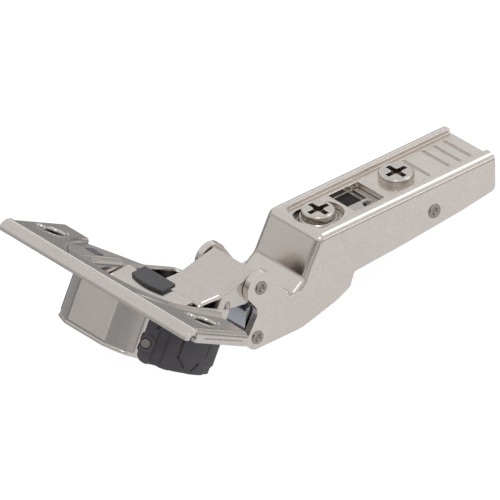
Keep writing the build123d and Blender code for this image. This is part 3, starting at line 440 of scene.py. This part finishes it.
def housing_shell(rows=130, columns=250):
    """Both grids of the housing; lengths are in mm, places on the circle in degrees.

    The outer one lies on the circle of the cup at an angle from its centre
    line and a height n. It is moved in and out by a sum of smooth steps: a
    ring for the boss, a hollow beside it, a raised cover and its parting
    lines, and a quarter round along the borders. The inner one is the flat
    back, on the wall of the drawn cup.
    """
    left, right = -48.5, 15.0
    angle = np.radians(left + (right - left) * np.linspace(0.0, 1.0, columns))[None, :]
    angle = np.repeat(angle, rows, axis=0)
    arc = housing_radius * angle
    u_there = cup_centre + housing_radius * np.sin(angle)
    rim, rim_start, rim_slope = -1.3, 2.0, 2.0 / 26.0
    top = rim - rim_slope * np.clip(u_there - rim_start, 0.0, None)
    foot, foot_round, foot_height = -13.75, 2.8, 0.9

    def at(degrees):
        return housing_radius * math.radians(degrees)

    def band(absent, full, fading, gone):
        """One along the arc from full to fading, smoothly zero at absent and at gone."""
        return smooth(at(absent), at(full), arc) * (1.0 - smooth(at(fading), at(gone), arc))

    turned_up = np.clip(foot_round - (arc - at(left)), 0.0, foot_round)
    bottom = foot + foot_height * (foot_round - np.sqrt(foot_round ** 2 - turned_up ** 2))
    n = bottom + (top - bottom) * np.linspace(0.0, 1.0, rows)[:, None]

    boss_place, boss_level, boss_clearance = at(-44.5), -9.5, 2.3
    from_boss = np.hypot(arc - boss_place, n - boss_level)
    lift = 0.55 * (1.0 - smooth(1.75, 2.05, from_boss))
    lift -= 0.65 * (1.0 - smooth(1.02, 1.2, from_boss))
    hollow = band(-39.5, -36.5, -31.5, -29.0) * (1.0 - smooth(-6.8, -5.4, n))
    lift -= 0.75 * hollow * (1.0 - smooth(0.2, 0.9, boss_clearance - from_boss))
    lift -= 0.35 * band(-41.0, -38.0, -34.0, -24.0) * (1.0 - smooth(-12.6, -11.2, n))
    lift += 0.22 * band(-28.5, -27.2, -24.0, -22.6)

    cover_left, cover_turn, cover_foot = -20.2, -10.5, (-13.6, -12.4)
    cover = smooth(at(-20.4), at(-19.6), arc)
    cover *= smooth(-0.4, 0.4, (n - cover_turn) * 0.72 + (arc - at(-20.0)) * 0.69)
    lift += 0.22 * cover
    for start, end, depth, half_width in (
        ((cover_left, -6.6), (cover_left, cover_turn), 0.35, 0.24),
        ((cover_left, cover_turn), cover_foot, 0.35, 0.24),
        ((-7.4, -12.8), (-3.3, -11.3), 0.60, 0.42),
        ((2.0, -6.8), (1.4, -9.7), 0.30, 0.24),
        ((-30.5, -3.6), (-30.5, -5.0), 0.35, 0.30),
    ):
        line = (at(start[0]), start[1]), (at(end[0]), end[1])
        lift -= depth * groove(arc, n, *line, half_width)
    gate_place, gate_level = at(-39.8), -5.6
    lift -= 0.60 * (1.0 - smooth(0.25, 0.5, np.hypot(arc - gate_place, n - gate_level)))
    lift -= 0.45 * smooth(at(5.0), at(7.0), arc) * (1.0 - smooth(-12.3, -11.3, n))

    cut_start, cut_end = (3.94, 11.36), (7.5, 12.86)
    back_near = np.interp(u_there, (cut_start[0], cut_end[0]), (cut_start[1], cut_end[1]))
    border = 0.9
    to_border = np.minimum(np.minimum(n - bottom, arc - at(left)), at(right) - arc)
    inside = np.clip(border - to_border, 0.0, border)
    lift -= border - np.sqrt(border ** 2 - inside ** 2)
    radius = housing_radius + lift
    u = cup_centre + radius * np.sin(angle)
    near = np.maximum(radius * np.cos(angle), back_near + 0.05)
    return in_cup(u, near, n), in_cup(u, back_near, n)


housing_outer, housing_inner = housing_shell()
housing = closed_shell("damper_housing_moulding", housing_outer, housing_inner, housing_plastic)
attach(housing, "cup")
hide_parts("damper_housing")


# Far rim of the mouth: the drawn sheet is turned up to a straight rounded
# lip there, level with the flange, where the plate beside it slopes away.
def swept_lip(start, end, columns=60, rows=40):
    """A lip along u: its section is a short flat top and a quarter of an ellipse that
    leans into the mouth, side = top side + a sin t and level = top - b (1 - cos t); the
    ends are closed by shrinking the last rings a little."""
    top, top_side, reach, fall = -0.1, -10.5, 2.15, 3.3
    middle_side, back_limit, end_length = -10.0, -9.4, 0.3
    foot = top - fall
    turn = np.linspace(0.0, math.pi / 2, rows)
    side = np.concatenate(([top_side - 0.5, top_side - 0.4], top_side + reach * np.sin(turn)))
    level = np.concatenate(([foot, top - 0.25], top - fall * (1.0 - np.cos(turn))))
    u = np.linspace(start, end, columns)[:, None]
    ease = np.clip(np.minimum(u - start, end - u) / end_length, 0.0, 1.0)
    swell = np.sqrt(1.0 - (1.0 - ease) ** 2)
    level = foot + (level[None, :] - foot) * (0.86 + 0.14 * swell)
    side = middle_side + (side[None, :] - middle_side) * (0.9 + 0.1 * swell)
    return in_cup(u, side, level), in_cup(u, np.minimum(side, back_limit), foot - 0.1)


lip_nickel = plated_steel("lip_nickel", sheet_nickel, 0.18, grain=(0.18, 1, 1))
lip_outer, lip_inner = swept_lip(start=3.2, end=15.6)
far_lip = closed_shell("mouth_far_lip", lip_outer, lip_inner, lip_nickel)
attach(far_lip, "cup")


# Screw holes: each is pierced and pressed in, with a key-shaped pocket beside it for the fitting
# tool; painted shade darkens the walls with depth.
def paint_depth_shade(steel, deep, shallow):
    """Painted shade that deepens with depth: n, the dot product of the place with the cup's
    upward direction, fades the colour from nearly black at deep to its own at shallow."""
    tree = steel.node_tree
    shifted = place_in_cup(tree)
    depth = dot_with(tree, shifted, "Vector", tuple(along_n))
    share = ranged(tree, depth, "Value", shallow, deep)
    dim_where(steel, share.outputs["Result"], (0.045, 0.04, 0.037))


def hole_lip(name, centre_near, rows=40, columns=220):
    """The pressed lip of a screw hole, a ring round its centre.

    The ring's height over the flange depends on the distance r from the
    centre: flush outside, and a quarter of an ellipse down to the hole's
    wall. A round pocket beside it is a smooth step in the distance from the
    pocket's own centre, which lies towards the far side, and a shallow groove
    of radius 3 mm runs round the near half.
    """
    hole_u, outside, hole = 7.5, 3.9, 2.1
    proud, bend_width, bend_depth = 0.012, 0.5, 0.95
    pocket_u, pocket_side, pocket_depth = -1.5, -2.5, 0.75
    groove_radius, groove_depth = 3.0, 0.12
    share = np.linspace(0.0, 1.0, rows)[None, :]
    radius = np.repeat(outside + (hole - outside) * share ** 0.8, columns, axis=0)
    turn = np.linspace(0.0, 2.0 * math.pi, columns)[:, None]
    du, dn = radius * np.cos(turn), radius * np.sin(turn)
    bend = np.clip((hole + bend_width - radius) / bend_width, 0.0, 1.0)
    level = proud - bend_depth * (1.0 - np.sqrt(1.0 - bend ** 2))
    from_pocket = np.hypot(du - pocket_u, dn - pocket_side)
    level -= pocket_depth * (1.0 - smooth(0.75, 1.2, from_pocket))
    in_groove = 1.0 - smooth(0.15, 0.5, np.abs(radius - groove_radius))
    level -= groove_depth * in_groove * smooth(0.2, 1.0, dn)
    outer = in_cup(hole_u + du, centre_near + dn, level)
    inner = in_cup(hole_u + du, centre_near + dn, np.minimum(level - 0.25, -1.0))
    lip = closed_shell(name, outer, inner, hole_nickel, ring_shaped=True)
    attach(lip, "cup")


hole_nickel = plated_steel("hole_nickel", sheet_nickel, 0.20, grain=(1, 0.18, 1))
# painted shade inside the holes, nearly black at the bottom
paint_depth_shade(hole_nickel, deep=-0.00075, shallow=-0.00018)
for side_name, centre_near in (("near", 22.5), ("far", -22.5)):
    hole_lip("screw_hole_lip_" + side_name, centre_near)


# Bottom of the cup: the draw leaves a rounded bead round the edge of the
# floor, which ends under the housing.
def bottom_bead(radius, level, inset, count=420, around=28):
    """A tube round the front of the cup's bottom edge.

    Its centre line is the cup's plan, a circle cut flat at the front and at
    the near corner, smoothed by averaging neighbours and then moved inwards.
    Round it, (side, level) = radius (cos a, sin a), shrunk at both ends.
    """
    corners = np.array((
        (2.9, -9.9), (2.2, -9.0), (1.25, -7.2), (0.62, -5.9), (0.5, -5.2), (0.5, 0.0),
        (0.5, 5.2), (0.62, 5.9), (1.25, 7.2), (2.2, 9.0), (2.75, 9.75), (4.3, 10.75),
    ))
    rounds, end_length = 10, 0.7
    steps = np.concatenate(([0.0], np.cumsum(np.hypot(*np.diff(corners, axis=0).T))))
    spot = np.linspace(0.0, steps[-1], count)
    u, side = (np.interp(spot, steps, corners[:, k]) for k in range(2))
    for _ in range(rounds):
        u[1:-1] = (u[:-2] + 2.0 * u[1:-1] + u[2:]) / 4.0
        side[1:-1] = (side[:-2] + 2.0 * side[1:-1] + side[2:]) / 4.0
    du, dside = np.gradient(u), np.gradient(side)
    length = np.hypot(du, dside)
    out_u, out_side = -dside / length, du / length
    end = np.clip(np.minimum(spot, steps[-1] - spot) / end_length, 0.0, 1.0)
    swell = 0.04 + 0.96 * np.sqrt(1.0 - (1.0 - end) ** 2)
    turn = np.linspace(0.0, 2.0 * math.pi, around)[:, None]
    reach = radius * swell * np.cos(turn) - inset
    level = level + radius * swell * np.sin(turn)
    return in_cup(u + out_u * reach, side + out_side * reach, level)


bead_level, bead_inset, bead_radius, core_radius = -12.78, 0.22, 0.46, 0.10
bead_outer = bottom_bead(bead_radius, bead_level, bead_inset)
bead_core = bottom_bead(core_radius, bead_level, bead_inset)
bead = closed_shell("cup_bottom_bead", bead_outer, bead_core, cup_nickel, ring_shaped=True)
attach(bead, "cup")


# Front of the outer link: the web is folded down there in a soft radius, which
# covers the gap between the link and the damper's lever.
def front_fold(rows=48, columns=120):
    """The rounded front of the outer link: its section leaves the web's slope, turns
    through an arc to straight down, (u, n) = start + R (sin a - sin a0, cos a0 - cos a),
    and its two ends drop by a quarter round beside the cheeks."""
    start_u, start_n, straight_rows = 24.3, -2.31, 12
    slope, radius, straight, thickness = math.radians(205.6), 1.5, 0.5, 0.8
    half_width, end_round = 6.45, 1.15
    turn = np.linspace(slope, math.radians(270.0), rows - straight_rows)
    u = start_u + radius * (np.sin(turn) - math.sin(slope))
    n = start_n + radius * (math.cos(slope) - np.cos(turn))
    down = np.linspace(0.0, straight, straight_rows + 1)[1:]
    u = np.concatenate((u, np.full(straight_rows, u[-1])))
    n = np.concatenate((n, n[-1] - down))
    turn = np.concatenate((turn, np.full(straight_rows, turn[-1])))
    side = np.linspace(-half_width, half_width, columns)[None, :]
    end = np.clip((np.abs(side) - (half_width - end_round)) / end_round, 0.0, 1.0)
    drop = 1.0 - np.sqrt(1.0 - end ** 2)
    grids = []
    for inset in (0.0, thickness):
        u_there = (u - inset * np.sin(turn))[:, None] + 0.45 * drop
        n_there = (n + inset * np.cos(turn))[:, None] - 0.8 * drop
        grids.append(in_cup(u_there, side * (1.0 - 0.02 * inset), n_there))
    return grids


fold_outer, fold_inner = front_fold()
fold = closed_shell("outer_link_front_fold", fold_outer, fold_inner, link_nickel)
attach(fold, "outer_link")


# Ends of the flange: each is turned down, and a thin dark strip along its middle is painted
# shade along the line where its bend ends.
def tab_shade_line(name, near, depth):
    """A dark line of painted shade along the turned-down end: a flat strip along u, with round
    ends.
    """
    start, end, end_round = 2.3, 13.8, 0.25
    half_width, least_half, rise = 0.13, 0.002, 0.012
    middle, half_length = (start + end) / 2, (end - start) / 2
    u = np.linspace(start, end, 40)[:, None]
    past = np.clip((np.abs(u - middle) - (half_length - end_round)) / end_round, 0.0, 1.0)
    half = half_width * np.sqrt(1.0 - past ** 2) + least_half
    level = -1.72 + rise * (u - start) + half * np.array((-1.0, 1.0))[None, :]
    outer = in_cup(u, near, level)
    inner = in_cup(u, near - depth, level)
    # the dark pin steel paints the shading line
    strip = closed_shell(name, outer, inner, pin_steel)
    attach(strip, "cup")


tab_face, tab_line_depth = 28.225, 0.05
tab_shade_line("tab_shade_line_near", tab_face, tab_line_depth)
tab_shade_line("tab_shade_line_far", -tab_face, -tab_line_depth)

# Switch and damper cylinder: smooth moulded nylon. The switch is a cap that
# slides on the lever, and the cylinder lies in the cup beside the links.
switch_plastic = moulded_plastic("switch_plastic", (0.075, 0.075, 0.082), 0.42)
finish("switch", switch_plastic)
finish("damper_cylinder", switch_plastic)


# Dark slab: a nearly black plastic slab in the adapter's opening, seen through the square window
# of the arm.
def rounded_slab(name, centre, half, corner, thickness, material, count=96):
    """A flat slab with round corners, in mm: the outline's point at angle t lies on the
    circle of the nearest corner; rings shrunk from it close the top and the bottom."""
    chamfer = 0.12
    turn = np.linspace(0.0, 2.0 * math.pi, count)
    out_x = np.sign(np.cos(turn)) * (half[0] - corner) + corner * np.cos(turn)
    out_y = np.sign(np.sin(turn)) * (half[1] - corner) + corner * np.sin(turn)
    rings = np.array((1.0, 0.97, 0.6, 0.02))[:, None]
    top_level = centre[2] - chamfer * np.array((1.0, 0.0, 0.0, 0.0))[:, None]
    x, y = centre[0] + rings * out_x, centre[1] + rings * out_y
    grids = []
    for level in (top_level, centre[2] - thickness):
        grid = 0.001 * np.stack(np.broadcast_arrays(x, y, level), axis=-1)
        grids.append(np.swapaxes(grid, 0, 1))
    return closed_shell(name, *grids, material, ring_shaped=True)


dark_slab_plastic = moulded_plastic("dark_slab_plastic", (0.012, 0.011, 0.010), 0.6)
window_middle, dark_slab_half = (-8.9, 1.7, 0.55), (4.2, 2.8)
dark_slab = rounded_slab(
    "adapter_dark_slab", window_middle, dark_slab_half, 0.4, 0.5, dark_slab_plastic
)
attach(dark_slab, "adapter")

# Floor: a pale matt sheet under the hinge, glowing white to the camera, that keeps a
# soft shadow; mirrored in the metal it glows grey, painted light that fades behind and far away.
floor_size = 6.0
floor_level = cad_low[2] - 0.0002
floor_corners = ((-1, -1), (1, -1), (1, 1), (-1, 1))
floor_mesh = bpy.data.meshes.new("floor")
floor_mesh.from_pydata(
    [(x * floor_size, y * floor_size, floor_level) for x, y in floor_corners], [], [(0, 1, 2, 3)]
)
floor = bpy.data.objects.new("floor", floor_mesh)
bpy.context.scene.collection.objects.link(floor)
paper, tree, out = new_material("floor_paper")
sheet = node(tree, "ShaderNodeBsdfDiffuse")
sheet.inputs["Color"].default_value = (0.2, 0.2, 0.2, 1.0)
glow = node(tree, "ShaderNodeEmission")
both = node(tree, "ShaderNodeAddShader")
seen = node(tree, "ShaderNodeLightPath")
place = node(tree, "ShaderNodeTexCoord")
floor_place = node(tree, "ShaderNodeSeparateXYZ")
link(tree, place, "Object", floor_place, "Vector")
away = node(tree, "ShaderNodeVectorMath", operation="LENGTH")
link(tree, place, "Object", away, 0)
fading = ranged(tree, away, "Value", 0.09, 0.22, 0.62, 0.45)
far_away = ranged(tree, away, "Value", 0.30, 0.50, 1.0, 0.10)
behind = ranged(tree, floor_place, "Y", 0.0, 0.035, 1.0, 0.35)
mirrored = times(tree, seen, "Is Glossy Ray", fading, "Result")
mirrored = times(tree, mirrored, "Value", behind, "Result")
mirrored = times(tree, mirrored, "Value", far_away, "Result")
camera_white = 0.93
looked = node(tree, "ShaderNodeMath", operation="MULTIPLY_ADD")
looked.inputs[1].default_value = camera_white
link(tree, seen, "Is Camera Ray", looked, 0)
link(tree, mirrored, "Value", looked, 2)
link(tree, looked, "Value", glow, "Strength")
link(tree, sheet, "BSDF", both, 0)
link(tree, glow, "Emission", both, 1)
link(tree, both, "Shader", out, "Surface")
floor_mesh.materials.append(paper)

# Light: a pale room, graded with height, as the metal mirrors it, and four
# soft lamps: key, rear, side, and one that draws the bright fold of the arm.
world = bpy.data.worlds.new("room")
bpy.context.scene.world = world
world.use_nodes = True
tree = world.node_tree
tree.nodes.clear()
out = node(tree, "ShaderNodeOutputWorld")
room = node(tree, "ShaderNodeBackground")
white = node(tree, "ShaderNodeBackground")
white.inputs["Color"].default_value = (1, 1, 1, 1)
choose = node(tree, "ShaderNodeMixShader")
seen = node(tree, "ShaderNodeLightPath")
link(tree, seen, "Is Camera Ray", choose, "Fac")
link(tree, room, "Background", choose, 1)
link(tree, white, "Background", choose, 2)
link(tree, choose, "Shader", out, "Surface")
direction = node(tree, "ShaderNodeTexCoord")
split = node(tree, "ShaderNodeSeparateXYZ")
link(tree, direction, "Generated", split, "Vector")
height = node(tree, "ShaderNodeValToRGB")
lift = ranged(tree, split, "Z", -1.0, 1.0)
link(tree, lift, "Result", height, "Fac")
# each place from straight down, 0, to straight up, 1, with its brightness
room_shades = (
    (0.0, 0.40), (0.48, 0.10), (0.53, 0.12), (0.56, 0.86), (0.60, 0.62), (0.64, 0.40),
    (0.70, 0.45), (0.76, 0.78), (1.0, 0.70),
)
ramp = height.color_ramp.elements
for spot, shade in room_shades:
    stop = ramp.new(spot) if 0.0 < spot < 1.0 else ramp[0 if spot == 0.0 else -1]
    stop.color = (shade, shade, shade, 1.0)
# the room is dimmer in a cone towards the left end
facing = dot_with(tree, direction, "Generated", (-0.95, -0.18, 0.24))
card = ranged(tree, facing, "Value", 0.87, 0.96, 1.0, 0.62)
shaded = mixed(tree, 1.0, height.outputs["Color"], card.outputs["Result"], "MULTIPLY")
tree.links.new(shaded, room.inputs["Color"])


def lamp(name, place, power, size, size_y=None):
    """A rectangular soft lamp at a place, turned to face the middle of the hinge."""
    light = bpy.data.lights.new(name, "AREA")
    light.energy = power
    light.shape = "RECTANGLE"
    light.size = size
    light.size_y = size_y or size
    holder = bpy.data.objects.new(name, light)
    holder.location = place
    aim = Vector(middle) - Vector(place)
    holder.rotation_euler = aim.to_track_quat("-Z", "Y").to_euler()
    bpy.context.scene.collection.objects.link(holder)


middle = (-0.036, 0.0, 0.0)
lamp("key", (-0.30, -0.30, 0.75), power=0.55, size=0.22)
lamp("rear", (0.35, 0.70, 0.30), power=0.25, size=0.7, size_y=0.1)
lamp("side", (0.45, -0.65, 0.22), power=0.22, size=0.5, size_y=0.12)
lamp("fold", (0.40, -0.02, 0.56), power=0.26, size=0.34, size_y=0.16)

# Camera: a nearly parallel view from the front left, as in the photograph,
# from two metres with a long lens.
view_azimuth = math.radians(-42.1)
view_elevation = math.radians(32.0)
view_distance = 2.0
photo_width, photo_scale = 500, 4.99
frame_width = 0.001 * photo_width / photo_scale
film_width = 36
ahead = Vector((
    -math.sin(view_azimuth) * math.cos(view_elevation),
    math.cos(view_azimuth) * math.cos(view_elevation),
    -math.sin(view_elevation),
))
right = Vector((math.cos(view_azimuth), math.sin(view_azimuth), 0))
up = right.cross(ahead)
view_centre = Vector((-0.03607, -0.00037, 0.00217))
camera_data = bpy.data.cameras.new("camera")
camera_data.sensor_width = film_width
camera_data.lens = film_width * view_distance / frame_width
camera_data.clip_start = 0.1
camera_data.clip_end = 30.0
camera = bpy.data.objects.new("camera", camera_data)
turn = Matrix((right, up, -ahead)).transposed().to_4x4()
camera.matrix_world = Matrix.Translation(view_centre - view_distance * ahead) @ turn
bpy.context.scene.collection.objects.link(camera)
bpy.context.scene.camera = camera
bpy.context.scene.view_settings.view_transform = "Standard"
